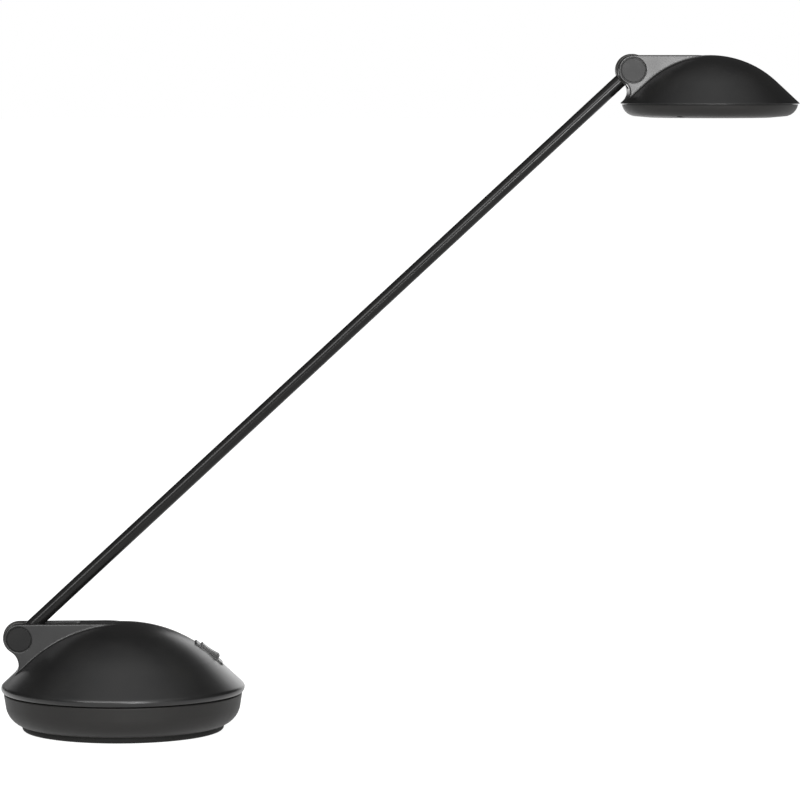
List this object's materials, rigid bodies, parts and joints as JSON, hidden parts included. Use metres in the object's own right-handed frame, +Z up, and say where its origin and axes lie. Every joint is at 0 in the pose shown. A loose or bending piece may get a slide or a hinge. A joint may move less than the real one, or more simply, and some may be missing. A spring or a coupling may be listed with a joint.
{
  "type": "desk lamp",
  "caption": "LED desk lamp with a weighted domed base, a straight tilting tube arm, a tilting domed head and a rocker switch on the base.",
  "frame": {"origin": "middle of the round foot, on the desk", "axes": "+Z up, +X from the base's hinge over the base towards the head, +Y to the far side"},
  "size_m": [0.4793, 0.146, 0.4045],
  "materials": {
    "black_shell": "satin",
    "grey_ring": "matte",
    "foot_rubber": "matte",
    "ballast_iron": "matte",
    "zinc_steel": "satin",
    "black_steel": "satin",
    "inlet_plastic": "satin",
    "contact_brass": "satin",
    "board_green": "satin",
    "driver_black": "satin",
    "terminal_green": "satin",
    "spacer_brass": "satin",
    "lead_black": "satin",
    "lead_red": "satin",
    "switch_black": "satin",
    "rocker_black": "satin",
    "arm_paint": "satin",
    "knuckle_paint": "satin",
    "washer_nylon": "matte",
    "cap_plastic": "matte",
    "opal_lens": "satin",
    "bare_aluminium": "satin",
    "led_board_white": "satin",
    "led_phosphor": "satin"
  },
  "bodies": {
    "base": {"base_cover": "black_shell", "base_tray": "grey_ring", "foot_pad": "foot_rubber", "ballast_plate": "ballast_iron", "tray_screws": "zinc_steel", "board_screws": "zinc_steel", "power_inlet": "inlet_plastic", "inlet_pin": "contact_brass", "driver_board": "board_green", "driver_parts": "driver_black", "terminal_blocks": "terminal_green", "board_spacers": "spacer_brass", "supply_lead": "lead_black", "lamp_lead": "lead_black", "switch_leads": "lead_red", "switch_body": "switch_black", "switch_terminals": "contact_brass", "base_pivot_bolt": "zinc_steel", "base_pivot_nut": "zinc_steel", "base_pivot_washers": "washer_nylon", "base_pivot_cap_front": "cap_plastic", "base_pivot_cap_rear": "cap_plastic"},
    "arm": {"arm_tube": "arm_paint", "lower_knuckle": "knuckle_paint", "upper_knuckle": "knuckle_paint", "arm_cable": "lead_black"},
    "head": {"head_shell": "black_shell", "head_ring": "grey_ring", "head_pivot_bolt": "zinc_steel", "head_pivot_nut": "zinc_steel", "head_pivot_washers": "washer_nylon", "head_pivot_cap_front": "cap_plastic", "head_pivot_cap_rear": "cap_plastic", "ring_screws": "black_steel", "diffuser": "opal_lens", "heat_plate": "bare_aluminium", "plate_screws": "zinc_steel", "led_board": "led_board_white", "led_chips": "led_phosphor", "led_lead": "lead_black"},
    "rocker": {"switch_rocker": "rocker_black"}
  },
  "joints": [
    {"name": "arm_tilt", "type": "hinge", "parent": "base", "child": "arm", "pos_m": [-0.062, 0, 0.05576], "axis": [0, -1, 0], "range_deg": [-22.7, 67.3]},
    {"name": "head_tilt", "type": "hinge", "parent": "arm", "child": "head", "pos_m": [0.30546, 0, 0.39484], "axis": [0, -1, 0], "range_deg": [-12, 78]},
    {"name": "rocker_tip", "type": "hinge", "parent": "base", "child": "rocker", "pos_m": [0.04972, 0, 0.04377], "axis": [0, 1, 0], "range_deg": [0, 10]}
  ]
}
